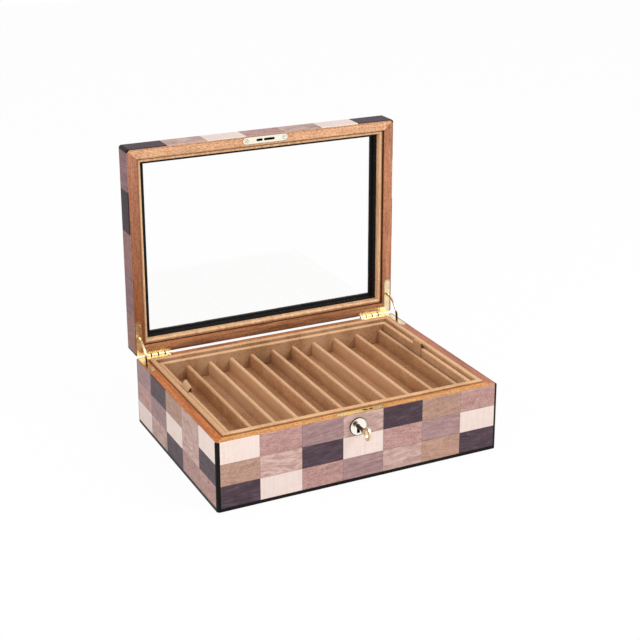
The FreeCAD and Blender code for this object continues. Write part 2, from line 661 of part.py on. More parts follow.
def lift_ribbon(sign):
    """Ribbon that comes up inside the tray's end wall and loops over it."""
    x_tail = TRAY_IN_X - RIBBON_T / 2
    z_loop = TRAY_TOP + 0.3
    x_mid = x_tail + RIBBON_LOOP_R
    r_out, r_in = RIBBON_LOOP_R + RIBBON_T / 2, RIBBON_LOOP_R - RIBBON_T / 2
    y0 = RIBBON_Y - RIBBON_W / 2
    z_tail = TRAY_TOP - RIBBON_TAIL

    def at(x, z):
        return V(sign * x, y0, z)

    outline = [
        Part.makeLine(at(x_mid - r_out, z_loop), at(x_mid - r_out, z_tail)),
        Part.makeLine(at(x_mid - r_out, z_tail), at(x_mid - r_in, z_tail)),
        Part.makeLine(at(x_mid - r_in, z_tail), at(x_mid - r_in, z_loop)),
        Part.Arc(at(x_mid - r_in, z_loop), at(x_mid, z_loop + r_in), at(x_mid + r_in, z_loop)).toShape(),
        Part.makeLine(at(x_mid + r_in, z_loop), at(x_mid + r_out, z_loop)),
        Part.Arc(at(x_mid + r_out, z_loop), at(x_mid, z_loop + r_out), at(x_mid - r_out, z_loop)).toShape(),
    ]
    return Part.Face(Part.Wire(outline)).extrude(V(0, RIBBON_W, 0))


def tray_pieces():
    """The lift-out tray."""
    made = {"tray_floor": box(-TRAY_X, -TRAY_Y, TRAY_Z, TRAY_X, TRAY_Y, TRAY_FLOOR_Z)}
    for side in SIDES:
        bar = frame_side(side, TRAY_X, TRAY_Y, TRAY_WALL_T, TRAY_FLOOR_Z, TRAY_TOP)
        made["tray_" + side + "_wall"] = round_top(bar, TRAY_ROUND, TRAY_TOP, side)
    made["tray_dividers"] = Part.makeCompound([divider(x) for x in divider_places()])
    made["left_lift_ribbon"] = lift_ribbon(-1)
    made["right_lift_ribbon"] = lift_ribbon(1)
    return made


# ---- lid ---------------------------------------------------------------------------------
def bead_bar(side):
    """Glazing bead: a flat quirk, then a half-round that dies into a straight inner face."""
    z_low = SEAL_Z - BEAD_H
    crown = (BEAD_W - BEAD_STEP) / 2
    out = IN_Y if side in ("front", "back") else IN_X
    sign = -1 if side in ("front", "left") else 1

    def at(across, z):
        place = sign * (out - across)
        return V(-HALF_W, place, z) if side in ("front", "back") else V(place, -HALF_W, z)

    lip = z_low + crown
    outline = [
        Part.makeLine(at(0, SEAL_Z), at(0, lip)),
        Part.makeLine(at(0, lip), at(BEAD_STEP, lip)),
        Part.Arc(at(BEAD_STEP, lip), at(BEAD_STEP + crown, z_low), at(BEAD_W, lip)).toShape(),
        Part.makeLine(at(BEAD_W, lip), at(BEAD_W, SEAL_Z)),
        Part.makeLine(at(BEAD_W, SEAL_Z), at(0, SEAL_Z)),
    ]
    run = V(CASE_W, 0, 0) if side in ("front", "back") else V(0, CASE_W, 0)
    length = Part.Face(Part.Wire(outline)).extrude(run)
    return length.common(frame_side(side, IN_X, IN_Y, BEAD_W, z_low - 1, SEAL_Z + 1)).Solids[0]


def lid_leaf_seats():
    """Everything the hinges take out of the lid's underside."""
    seats = []
    for sign in (-1, 1):
        seats += [leaf_outline(sign, LID_Z), relief(sign), lid_stay_mortise(sign)]
    return seats


def lid_screw_spots():
    """Every countersunk screw in the lid: place and slot angle."""
    spots = [(x, y, 40.0 + 30.0 * i) for s in (-1, 1) for i, (x, y) in enumerate(leaf_screw_spots(s))]
    spots += [(s * PLATE_SCREW_X, LOCK_Y, 35.0 * s) for s in (-1, 1)]
    return spots


def lid_rails():
    """Four mitred rails: a rim as wide as the case's wall and a lip over the glass."""
    pocket = rounded_bar(STRIKE_SHORT[0] - 1, STRIKE_LONG[1] + 1, LOCK_Y, SLOT_W + 1,
                         LID_Z, LID_Z + POCKET_D)
    tools = posts(LID_Z, LID_TOP) + lid_leaf_seats() + [lock_plate_blank(LID_Z), pocket]
    tools += [screw(x, y, LID_Z, -1) for x, y, _ in lid_screw_spots()]
    out_x, out_y = HALF_W - VENEER_T, HALF_D - VENEER_T
    top = LID_TOP - VENEER_T
    made = {}
    for side in SIDES:
        rim = frame_side(side, out_x, out_y, BOARD_T, LID_Z, top)
        lip = frame_side(side, out_x, out_y, BOARD_T + LIP_W, GLASS_TOP, top)
        made["lid_" + side + "_rail"] = cut(fuse([rim, lip]), tools)
    return made


def lid_veneer():
    """Parquetry on the lid's four edges and on the frame round the glass, grouped by wood."""
    groups = {letter: [] for letter in SPECIES}
    tools = [leaf_outline(s, LID_Z) for s in (-1, 1)] + [relief(s) for s in (-1, 1)]
    places = side_places(tools)
    z_edges = [LID_TOP, LID_Z]
    for side, letters, half in (("front", LID_FRONT_TILES, HALF_W), ("back", LID_BACK_TILES, HALF_W),
                                ("left", LID_LEFT_TILES, HALF_D), ("right", LID_RIGHT_TILES, HALF_D)):
        face_tiles((letters,), z_edges, half, places[side], groups)
    z0, z1 = LID_TOP - VENEER_T, LID_TOP
    width = BOARD_T + LIP_W
    out_x, out_y = HALF_W - VENEER_T, HALF_D - VENEER_T
    strips = {
        "front": (TOP_FRONT_TILES, HALF_W, lambda a, b: box(a, -HALF_D, z0, b, 0, z1)),
        "back": (TOP_BACK_TILES, HALF_W, lambda a, b: box(a, 0, z0, b, HALF_D, z1)),
        "left": (TOP_LEFT_TILES, HALF_D, lambda a, b: box(-HALF_W, a, z0, 0, b, z1)),
        "right": (TOP_RIGHT_TILES, HALF_D, lambda a, b: box(0, a, z0, HALF_W, b, z1)),
    }
    for side, (letters, half, window) in strips.items():
        bar = cut(frame_side(side, out_x, out_y, width, z0, z1), posts(z0, z1))
        edges = [-half] + seams(half, len(letters))[1:-1] + [half]
        for c, letter in enumerate(letters):
            groups[letter] += bar.common(window(edges[c], edges[c + 1])).Solids
    block = rounded_block(LID_Z, LID_TOP, [LID_Z, LID_TOP])
    return {"lid_veneer_" + SPECIES[k]: Part.makeCompound(shaped(v, block)) for k, v in groups.items()}


def lid_pieces():
    """The lid, drawn shut."""
    made = lid_rails()
    made.update(lid_veneer())
    seats = lid_leaf_seats()
    corners = shaped(posts(LID_Z, LID_TOP), rounded_block(LID_Z, LID_TOP, [LID_Z, LID_TOP]))
    made["lid_corner_stringing"] = Part.makeCompound([cut(p, seats) for p in corners])
    gx, gy = IN_X - GLASS_PLAY, IN_Y - GLASS_PLAY
    made["lid_glass"] = box(-gx, -gy, GLASS_Z, gx, gy, GLASS_TOP)
    ring = box(-IN_X, -IN_Y, SEAL_Z, IN_X, IN_Y, GLASS_Z)
    hole = box(-IN_X + SEAL_W, -IN_Y + SEAL_W, SEAL_Z - 1, IN_X - SEAL_W, IN_Y - SEAL_W, GLASS_Z + 1)
    made["glass_seal"] = cut(ring, [hole])
    made["glazing_bead"] = Part.makeCompound([bead_bar(side) for side in SIDES])
    plate_screws = [screw(s * PLATE_SCREW_X, LOCK_Y, LID_Z, -1) for s in (-1, 1)]
    slots = [plate_slot(span, LID_Z - 1, LID_Z + PLATE_T + 1) for span in (STRIKE_LONG, STRIKE_SHORT)]
    made["strike_plate"] = cut(lock_plate_blank(LID_Z), plate_screws + slots)
    for name, sign in (("left", -1), ("right", 1)):
        seat_screws = [screw(x, y, LID_Z, -1) for x, y in leaf_screw_spots(sign)]
        made[name + "_lid_hinge_leaf"] = cut(leaf(sign, LID_Z, False), seat_screws)
    made["lid_screws"] = Part.makeCompound(
        [slotted(screw(x, y, LID_Z, -1), x, y, LID_Z, -1, deg) for x, y, deg in lid_screw_spots()])
    return {name: opened(shape) for name, shape in made.items()}


def moving_pieces():
    """Pieces that turn on their own: stays, claw and key."""
    return {"left_stay": stay(-1), "right_stay": stay(1), "hook_claw": hook_claw(), "key": key()}


# ---- write one file for each piece --------------------------------------------------------
os.makedirs("parts", exist_ok=True)
chest = {}
for make in (case_pieces, tray_pieces, lid_pieces, moving_pieces):
    chest.update(make())
for name, shape in chest.items():
    shape.exportStep("parts/" + name + ".step")
print(len(chest), "pieces")
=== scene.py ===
"""Looks of a parquetry pen chest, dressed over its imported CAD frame."""

import math

import bpy
import numpy as np
from mathutils import Matrix


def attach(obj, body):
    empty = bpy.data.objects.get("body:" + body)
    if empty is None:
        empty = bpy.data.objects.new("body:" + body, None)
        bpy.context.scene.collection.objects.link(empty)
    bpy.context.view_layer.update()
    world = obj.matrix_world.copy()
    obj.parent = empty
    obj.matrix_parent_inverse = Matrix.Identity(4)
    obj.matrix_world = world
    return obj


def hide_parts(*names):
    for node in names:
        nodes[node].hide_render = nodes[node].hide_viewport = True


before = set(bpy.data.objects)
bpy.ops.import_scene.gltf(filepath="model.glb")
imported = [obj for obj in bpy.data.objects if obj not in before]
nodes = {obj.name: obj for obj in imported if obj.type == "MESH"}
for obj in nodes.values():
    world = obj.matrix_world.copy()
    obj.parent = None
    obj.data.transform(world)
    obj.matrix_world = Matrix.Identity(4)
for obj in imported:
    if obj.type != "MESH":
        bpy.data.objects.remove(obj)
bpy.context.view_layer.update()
scene = bpy.context.scene
scene.view_settings.view_transform = "Standard"


# ---- Studio ------------------------------------------------------------------------------
# A white sweep with one large soft lamp on the right, a weaker one on the left and an even sky.
# The floor is matt white paper; cameras, metal and glass see it as plain white with a soft shadow.

FLOOR_SIDE = 6.0
FLOOR_DROP = 0.0002       # keeps the paper clear of the baize
FLOOR_SHADOW = 0.04       # how much of the paper's own shading the camera sees
SKY_LEVEL = 0.62
WHITE = (1, 1, 1, 1)
LAMP_AIM = (0, 0, 0.1)
#             place, side, watts
LAMPS = {
    "key_lamp": ((0.95, -1.15, 1.45), 1.1, 21),
    "left_lamp": ((-1.5, -0.6, 0.9), 1.0, 7.5),
}


def srgb(red, green, blue):
    """Linear colour of a paint swatch given in 0 to 255: ((c + 0.055) / 1.055) to the power 2.4."""
    share = np.array([red, green, blue]) / 255
    linear = np.where(share <= 0.04045, share / 12.92, ((share + 0.055) / 1.055) ** 2.4)
    return (*linear.tolist(), 1.0)


class Finish:
    """A node material on Object coordinates; its methods add nodes and hand back what they give."""

    def __init__(self, name, owner=None):
        self.owner = owner or bpy.data.materials.new(name)
        self.owner.use_nodes = True
        self.tree = self.owner.node_tree
        self.shader = self.tree.nodes.get("Principled BSDF")

    def step(self, kind, inputs=None, **settings):
        """Adds a node, then wires each input that is a socket and sets the others."""
        node = self.tree.nodes.new("ShaderNode" + kind)
        for name, value in settings.items():
            setattr(node, name, value)
        for name, value in (inputs or {}).items():
            if isinstance(value, bpy.types.NodeSocket):
                self.tree.links.new(value, node.inputs[name])
            else:
                node.inputs[name].default_value = value
        return node

    def number(self, operation, *values):
        """Result of one Math node."""
        return self.step("Math", dict(enumerate(values)), operation=operation).outputs[0]

    def vector(self, operation, *values):
        """Result of one Vector Math node; SCALE takes its number second."""
        inputs = dict(enumerate(values))
        if operation == "SCALE":
            inputs["Scale"] = inputs.pop(1)
        given = self.step("VectorMath", inputs, operation=operation).outputs
        return given["Value" if operation in ("LENGTH", "DOT_PRODUCT") else "Vector"]

    def parts(self, place):
        """X, Y and Z of a place or direction."""
        return self.step("SeparateXYZ", {0: place}).outputs

    def wire(self, name, socket):
        """Joins a socket to an input of the shader."""
        self.tree.links.new(socket, self.shader.inputs[name])

    def sets(self, **values):
        """Sets numbers and colours on the shader's own inputs."""
        for name, value in values.items():
            self.shader.inputs[name.replace("_", " ")].default_value = value


def seen_by_lens(finish):
    """1 for rays from the lens, from mirrors and through glass; 0 for light that bounces."""
    path = finish.step("LightPath").outputs
    either = finish.number("MAXIMUM", path["Is Camera Ray"], path["Is Glossy Ray"])
    return finish.number("MAXIMUM", either, path["Is Transmission Ray"])


paper = Finish("white_paper")
paper_out = paper.tree.nodes["Material Output"]
paper.sets(Base_Color=srgb(246, 246, 246), Roughness=0.9, Specular_IOR_Level=0.1)
white = paper.step("Emission", {"Color": WHITE, "Strength": 1.0})
seen_white = paper.number("MULTIPLY", seen_by_lens(paper), 1 - FLOOR_SHADOW)
paper_mix = paper.step("MixShader", {0: seen_white, 1: paper.shader.outputs[0], 2: white.outputs[0]})
paper.tree.links.new(paper_mix.outputs[0], paper_out.inputs["Surface"])

half = FLOOR_SIDE / 2
floor_mesh = bpy.data.meshes.new("floor")
floor_mesh.from_pydata([(-half, -half, 0), (half, -half, 0), (half, half, 0), (-half, half, 0)],
                       [], [(0, 1, 2, 3)])
floor = bpy.data.objects.new("floor", floor_mesh)
floor.location.z = -FLOOR_DROP
floor.data.materials.append(paper.owner)
scene.collection.objects.link(floor)

sky = Finish("sky", owner=scene.world or bpy.data.worlds.new("sky"))
scene.world = sky.owner
sky.shader = sky.tree.nodes["Background"]
sky.wire("Strength", sky.step("Mix", {0: seen_by_lens(sky), 2: SKY_LEVEL, 3: 1.0}).outputs[0])
sky.sets(Color=WHITE)


def looking_back(away, roll=0.0):
    """4 by 4 turn whose Z axis runs along away, its X axis level, then rolled about Z by degrees."""
    back = away / np.linalg.norm(away)
    right = np.cross((0, 0, 1), back)
    right /= np.linalg.norm(right)
    up = np.cross(back, right)
    turn = Matrix(np.column_stack((right, up, back)).tolist()).to_4x4()
    return turn @ Matrix.Rotation(math.radians(roll), 4, "Z")


def soft_lamp(name, place, side, watts):
    """Square area lamp at a place, turned to face the chest."""
    data = bpy.data.lights.new(name, "AREA")
    data.size = side
    data.energy = watts
    lamp = bpy.data.objects.new(name, data)
    away = np.array(place, float) - np.array(LAMP_AIM, float)
    lamp.matrix_world = Matrix.Translation(place) @ looking_back(away)
    scene.collection.objects.link(lamp)


for lamp_name, (place, side, watts) in LAMPS.items():
    soft_lamp(lamp_name, place, side, watts)


# ---- Camera ------------------------------------------------------------------------------
# A short telephoto at standing height, a little left of the chest, with a slight fall of the lens.
# Its focal length and axis are in pixels of a square frame, its place in metres and degrees.

FRAME_PX = 640
FOCAL_PX = 1412.2
AXIS_PX = (340.0, 250.0)
SENSOR = 36.0
CAMERA_AZIMUTH = -26.76
CAMERA_HEIGHT = 18.46
CAMERA_ROLL = 0.17
CAMERA_AWAY = 1.4004
CAMERA_AIM = (0.02993, 0.0, 0.19559)

azimuth, height = math.radians(CAMERA_AZIMUTH), math.radians(CAMERA_HEIGHT)
back = np.array([math.sin(azimuth) * math.cos(height), -math.cos(azimuth) * math.cos(height),
                 math.sin(height)])
lens = bpy.data.cameras.new("camera")
lens.sensor_width = SENSOR
lens.lens = FOCAL_PX * SENSOR / FRAME_PX
lens.shift_x = (FRAME_PX / 2 - AXIS_PX[0]) / FRAME_PX
lens.shift_y = (AXIS_PX[1] - FRAME_PX / 2) / FRAME_PX
camera = bpy.data.objects.new("camera", lens)
stand = Matrix.Translation(np.array(CAMERA_AIM) + back * CAMERA_AWAY)
camera.matrix_world = stand @ looking_back(back, CAMERA_ROLL)
scene.collection.objects.link(camera)
scene.camera = camera


# ---- Mahogany ----------------------------------------------------------------------------
# The case's four sides, its bottom, the lid's rails and the bead are solid mahogany under lacquer.
# Straight ribbon grain runs along each bar, with short dark pores that the lacquer leaves as dashes.

PORE = srgb(92, 44, 22)
ALONG_X, ALONG_Y, ALONG_Z = 0, 1, 2
LID_MIDDLE = 182.4
#             across a wall or rail: axis, middle, inner side, width
FRONT_OR_BACK = (ALONG_Y, 0.0, 99.0, 10.2)
LEFT_OR_RIGHT = (ALONG_X, 0.0, 139.0, 10.2)
LID_TOP = (ALONG_Z, LID_MIDDLE, 99.0, 8.8)
LID_BOTTOM = (ALONG_Z, LID_MIDDLE, 99.0, 10.2)
#                  grain, colour, figure, speckle, across
BOARDS = {
    "front_wall": (ALONG_X, srgb(240, 170, 102), 0.6, 0.50, FRONT_OR_BACK),
    "back_wall": (ALONG_X, srgb(206, 138, 88), 1.0, 0.45, FRONT_OR_BACK),
    "left_wall": (ALONG_Y, srgb(204, 120, 64), 0.9, 0.40, LEFT_OR_RIGHT),
    "right_wall": (ALONG_Y, srgb(186, 122, 96), 0.8, 0.30, LEFT_OR_RIGHT),
    "base_panel": (ALONG_X, srgb(196, 128, 84), 1.0, 0.30, None),
    "lid_front_rail": (ALONG_X, srgb(236, 182, 140), 0.4, 0.48, LID_TOP),
    "lid_back_rail": (ALONG_X, srgb(216, 152, 108), 1.5, 0.35, LID_BOTTOM),
    "lid_left_rail": (ALONG_Z, srgb(188, 129, 101), 0.5, 0.42, LEFT_OR_RIGHT),
    "lid_right_rail": (ALONG_Z, srgb(202, 138, 104), 0.8, 0.42, LEFT_OR_RIGHT),
    "glazing_bead": (ALONG_Z, srgb(246, 196, 150), 0.7, 0.20, None),
}
# painted shade on the lid's back rail towards its foot; the left rail is darker towards the bottom
#                  along, low, high, share of each colour kept at low
DARKER_BELOW = {
    "lid_back_rail": (ALONG_Z, 73.2, 87.0, (0.30, 0.30, 0.30, 1.0)),
    "lid_left_rail": (ALONG_Z, 95.0, 280.0, (0.60, 0.45, 0.24, 1.0)),
}
#             period across the grain and along it
RIBBON_GRAIN, FIBRE_GRAIN, PORE_GRAIN = (5.0, 70.0), (1.1, 16.0), (1.25, 3.0)
RIBBON_DARK, RIBBON_PALE = 0.34, 0.24      # how far the ribbon figure leaves the board's colour
RIBBON_AT = (0.32, 0.50, 0.70)             # grey where it is dark, plain and pale
FIBRE_SHARE, FIBRE_LEVELS = 0.45, [(0.32, 0.55), (0.66, 1.2)]
PORE_LEVELS, PORE_DEPTH = [(0.44, 0.0), (0.64, 1.0)], -0.25
INNER_ARRIS = (1.5, 0.5)                   # painted shade darkens the inner arris, fading in from here to here
OUTER_ARRIS = 0.8                          # and the last of the bar's width on the outer one
# strength of the painted shade on a case wall's inner arris, on a lid rail's, and on an outer arris
ARRIS_SHADE_CASE, ARRIS_SHADE_LID, ARRIS_SHADE_OUTSIDE = 0.80, 0.25, 0.30
RIM_BACK = 111.9                           # a lid rail's inner side is free of painted shade as far back as this
GROOVE_SHADE_BACK, GROOVE_SHADE_SIDE = 0.5, (0.6, 0.2)  # painted shade in its corner with the bead
REBATE, REBATE_EDGE = 120.9, 0.1           # the rails are painted black from here back, round the glass
# black of the rebate's paint, also used for the painted shade in the strike's pocket
BLACK_PAINT_AND_SHADE = srgb(14, 12, 11)
STRIKE_LINE, PLATE_HALF = 287.0, 21.5
STRIKE_MIDDLE = (0.0, 0.0, STRIKE_LINE)
STRIKE_POCKET_SHADE = (3.6, 3.3)                 # painted shade: the pocket behind the strike's slots is black inside this


def in_mm(finish):
    """Object coordinates in millimetres."""
    return finish.vector("SCALE", finish.step("TexCoord").outputs["Object"], 1000.0)


def stretched(finish, place, periods):
    """Coordinates divided by a period in millimetres along each axis."""
    return finish.vector("MULTIPLY", place, tuple(1 / p for p in periods))


def noise(finish, place, detail=4.0, roughness=0.55, warp=0.0):
    """Grey noise of period 1 in the coordinates given."""
    return finish.step("TexNoise", {"Vector": place, "Scale": 1.0, "Detail": detail,
                                    "Roughness": roughness, "Distortion": warp}).outputs[0]


def ramp(finish, grey, stops):
    """Grey turned to a colour or level by (place, colour) stops."""
    node = finish.step("ValToRGB", {"Fac": grey})
    band = node.color_ramp.elements
    while len(band) < len(stops):
        band.new(0.5)
    for element, (place, colour) in zip(band, stops):
        element.position = place
        element.color = colour if isinstance(colour, tuple) else (colour, colour, colour, 1)
    return node.outputs[0]


def blend(finish, share, under, over, mode="MIX"):
    """Two colours mixed by a share."""
    inputs = {"Fac": share, "Color1": under, "Color2": over}
    return finish.step("MixRGB", inputs, blend_type=mode).outputs[0]


def between(finish, value, low, high, at_low=0.0, at_high=1.0):
    """at_low up to low, at_high from high on, straight between; low may be the larger."""
    return finish.step("MapRange", {"Value": value, 1: low, 2: high, 3: at_low, 4: at_high}).outputs[0]


def lacquer(finish, gloss=0.08, depth=0.11):
    """Clear coat over the wood; the wood's own relief stays under it."""
    finish.sets(Roughness=0.5, Specular_IOR_Level=0.08, Coat_Weight=depth, Coat_Roughness=gloss,
                Coat_IOR=1.45)


def relief(finish, grey, depth, distance=0.0002):
    """Bump of the surface from a grey pattern."""
    bump = finish.step("Bump", {"Height": grey, "Strength": depth, "Distance": distance})
    finish.wire("Normal", bump.outputs[0])


def distance_from(finish, place, axis, middle):
    """How far a place lies from a middle along one axis, in millimetres."""
    off = finish.number("SUBTRACT", finish.parts(place)[axis], middle)
    return finish.number("ABSOLUTE", off)


def from_middle(finish, place, middle, half=0.0):
    """Distance in the plate's plane from a line of half length each way along X about a middle:
    the length of (|place - middle| - half), with what is below 0 taken as 0."""
    flat = tuple(float(at != 0.0 or way == 0) for way, at in enumerate(middle))
    off = finish.vector("SUBTRACT", place, middle)
    off = finish.vector("MULTIPLY", off, flat)
    off = finish.vector("ABSOLUTE", off)
    off = finish.vector("SUBTRACT", off, (half, 0.0, 0.0))
    off = finish.vector("MAXIMUM", off, (0.0, 0.0, 0.0))
    return finish.vector("LENGTH", off)


def grain_of(finish, place, axis, periods, *manner):
    """Noise drawn out along a board's axis."""
    across, along = periods
    ways = [across, across, across]
    ways[axis] = along
    return noise(finish, stretched(finish, place, ways), *manner)


def mahogany(name, axis, body, figured, speckle, bar):
    """Ribbon grain, fine fibre and pores: three noises stretched along the board's axis.
    Painted shade darkens the bar along its inner arris, and less along its outer one; the lid's back rail
    has painted shade towards its foot, and its left rail is darker towards the bottom. A lid rail also has
    painted shade in its corner with the bead and in the strike's pocket, and is painted black behind the
    glass."""
    finish = Finish(name)
    on_lid = name.startswith("lid_")
    place = in_mm(finish)
    ribbon = grain_of(finish, place, axis, RIBBON_GRAIN, 3.0, 0.5, 0.8)
    fibre = grain_of(finish, place, axis, FIBRE_GRAIN, 3.0, 0.6)
    pores = ramp(finish, grain_of(finish, place, axis, PORE_GRAIN, 2.0, 0.6), PORE_LEVELS)
    dark = (*[c * (1 - RIBBON_DARK * figured) for c in body[:3]], 1.0)
    pale = (*[min(c * (1 + RIBBON_PALE * figured), 1.0) for c in body[:3]], 1.0)
    figure = ramp(finish, ribbon, list(zip(RIBBON_AT, (dark, body, pale))))
    coloured = blend(finish, FIBRE_SHARE, figure, ramp(finish, fibre, FIBRE_LEVELS), "MULTIPLY")
    coloured = blend(finish, finish.number("MULTIPLY", pores, speckle), coloured, PORE)
    if bar:
        across, middle, inner, width = bar
        off = distance_from(finish, place, across, middle)
        # painted shade along the inner arris, where the rim meets the lining, and less along the outer one
        inside = between(finish, off, inner + INNER_ARRIS[0], inner + INNER_ARRIS[1])
        outside = between(finish, off, inner + width - OUTER_ARRIS, inner + width)
        arris_shade = finish.number("MULTIPLY", inside, ARRIS_SHADE_LID if on_lid else ARRIS_SHADE_CASE)
        arris_shade = finish.number("MULTIPLY_ADD", outside, ARRIS_SHADE_OUTSIDE, arris_shade)
        coloured = blend(finish, arris_shade, coloured, PORE)
    # painted shade darkens the lid's back rail towards its foot; the left rail is darker towards the bottom
    if name in DARKER_BELOW:
        way, deep, clear, kept = DARKER_BELOW[name]
        height = between(finish, finish.parts(place)[way], deep, clear)
        tone_and_shade = ramp(finish, height, [(0.0, kept), (1.0, 1.0)])
        coloured = blend(finish, 1.0, coloured, tone_and_shade, "MULTIPLY")
    if on_lid:
        depth = finish.parts(place)[ALONG_Y]
        # painted shade in a lid rail's corner with the bead
        behind = between(finish, depth, RIM_BACK, RIM_BACK + GROOVE_SHADE_BACK)
        beside = between(finish, off, inner + GROOVE_SHADE_SIDE[0], inner + GROOVE_SHADE_SIDE[1])
        coloured = blend(finish, finish.number("MULTIPLY", behind, beside), coloured, PORE)
        painted = between(finish, depth, REBATE - REBATE_EDGE, REBATE)
        coloured = blend(finish, painted, coloured, BLACK_PAINT_AND_SHADE)
    if name == "lid_front_rail":
        # painted shade in the pocket behind the strike's slots
        from_strike = from_middle(finish, place, STRIKE_MIDDLE, PLATE_HALF)
        coloured = blend(finish, between(finish, from_strike, *STRIKE_POCKET_SHADE), coloured, BLACK_PAINT_AND_SHADE)
    finish.wire("Base Color", coloured)
    relief(finish, pores, PORE_DEPTH)
    lacquer(finish)
    return finish.owner


def dress(node_name, material):
    """Gives a CAD node's own mesh a material."""
    mesh = nodes[node_name].data
    mesh.materials.clear()
    mesh.materials.append(material)


for board, cut in BOARDS.items():
    dress(board, mahogany(board, *cut))


# ---- Parquetry ---------------------------------------------------------------------------
# Tiles of six dyed and natural veneers, glued edge to edge on the mahogany and lacquered flat.
# Each tile is cut from another place in the sheet, so figure and tone change from tile to tile.

CASE_TILE, CASE_CORNER = (42.857, 44.0, 22.167), (-150.0, -110.0, 4.5)
LID_TILE, LID_CORNER = (42.857, 500.0, 44.0), (-150.0, 0.0, 72.4)
SHEET_JUMP = 700.0                         # how far apart in the sheet two tiles may be cut
ACROSS_GRAIN, ALONG_GRAIN = 1.5, 38.0
GRAIN_SLOPE = 0.45                         # spread of slopes that the tiles' grain climbs at
BAND_STRETCH, BAND_COUNT, BAND_LEVELS = 0.3, 34.0, (0.36, 0.64)
BAND_SHARE, CLOUD_SHARE = 0.45, 0.8        # of a wood's weight for clouds
CLOUDS, GRIT = (13.0, 13.0, 6.0), (1.7, 1.7, 1.3)
CURLS, CURL_NESTS = (4.6, 4.6, 3.8), (12.0, 12.0, 9.0)
CURL_LINE, NEST_EDGE = (0.022, 0.006), (0.48, 0.60)
VEINS_AT = (0.32, 0.50, 0.68)              # grey where the figure is dark, plain and pale
TILE_TONE = (0.93, 1.05)
GLUE_LINE, GLUE_TONE = 0.45, 0.62
OFF_FACE = 20.0                            # puts a face's own axis out of the search for a seam

#          body, dark vein, pale vein; weights of streaks, clouds, grit and burr; upright grain
WOODS = {
    "cream": (srgb(237, 217, 208), srgb(208, 184, 172), srgb(247, 235, 229), 0.19, 0.15, 0.10, 0.00, True),
    "rose": (srgb(184, 144, 137), srgb(124, 84, 82), srgb(212, 176, 166), 0.15, 0.30, 0.36, 0.65, False),
    "mauve": (srgb(163, 131, 130), srgb(122, 94, 95), srgb(194, 165, 162), 0.38, 0.32, 0.18, 0.12, False),
    "pink": (srgb(194, 160, 150), srgb(146, 110, 106), srgb(222, 194, 184), 0.25, 0.55, 0.14, 0.00, False),
    "dark": (srgb(80, 63, 71), srgb(50, 37, 44), srgb(113, 95, 103), 0.32, 0.35, 0.10, 0.00, False),
    "taupe": (srgb(180, 142, 125), srgb(132, 100, 86), srgb(208, 174, 156), 0.20, 0.30, 0.34, 0.10, False),
}
LID_DEEPER = {"dark": (0.48, 0.28, 0.42)}  # share of each colour kept for this wood on the lid
LID_LEFT_SHADE = (0.60, 0.49, 0.53)              # and, as painted shade, on faces turned to the left
LEFTWARDS = (-0.3, -0.7)


def sum_of(finish, greys):
    """Half, plus each grey's distance from a half times its weight."""
    total = 0.5 - 0.5 * sum(weight for _, weight in greys)
    for grey, weight in greys:
        total = finish.number("MULTIPLY_ADD", grey, weight, total)
    return total


def as_grey(finish, level):
    """A level as a grey colour."""
    return finish.step("CombineColor", {0: level, 1: level, 2: level}).outputs[0]


def to_seam(finish, from_corner, tile, off_face):
    """Distance to the nearest tile edge, leaving out the axis that the face looks along."""
    part = finish.vector("FRACTION", finish.vector("DIVIDE", from_corner, tile))
    swing = finish.vector("ABSOLUTE", finish.vector("SUBTRACT", part, (0.5, 0.5, 0.5)))
    inside = finish.vector("SUBTRACT", (0.5, 0.5, 0.5), swing)
    ways = finish.parts(finish.vector("MULTIPLY_ADD", inside, tile, off_face))
    return finish.number("MINIMUM", finish.number("MINIMUM", ways[0], ways[1]), ways[2])


def climbing(finish, sheet, chance):
    """A sheet's coordinates sheared upwards along its length by a slope of its own."""
    slope = between(finish, chance, 0.0, 1.0, -GRAIN_SLOPE / 2, GRAIN_SLOPE / 2)
    parts = finish.parts(sheet)
    level = finish.number("ADD", parts[0], parts[1])
    climb = finish.number("MULTIPLY_ADD", level, slope, parts[2])
    return finish.step("CombineXYZ", {0: parts[0], 1: parts[1], 2: climb}).outputs[0]


def burr_marks(finish, sheet, weight):
    """Thin curls where one noise crosses a half, in the nests that a wider noise leaves."""
    curl = noise(finish, stretched(finish, sheet, CURLS), 2.0, 0.55, 0.6)
    off = finish.number("SUBTRACT", curl, 0.5)
    line = between(finish, finish.number("ABSOLUTE", off), *CURL_LINE)
    nest = between(finish, noise(finish, stretched(finish, sheet, CURL_NESTS), 1.0, 0.5), *NEST_EDGE)
    return finish.number("MULTIPLY", finish.number("MULTIPLY", line, nest), weight)


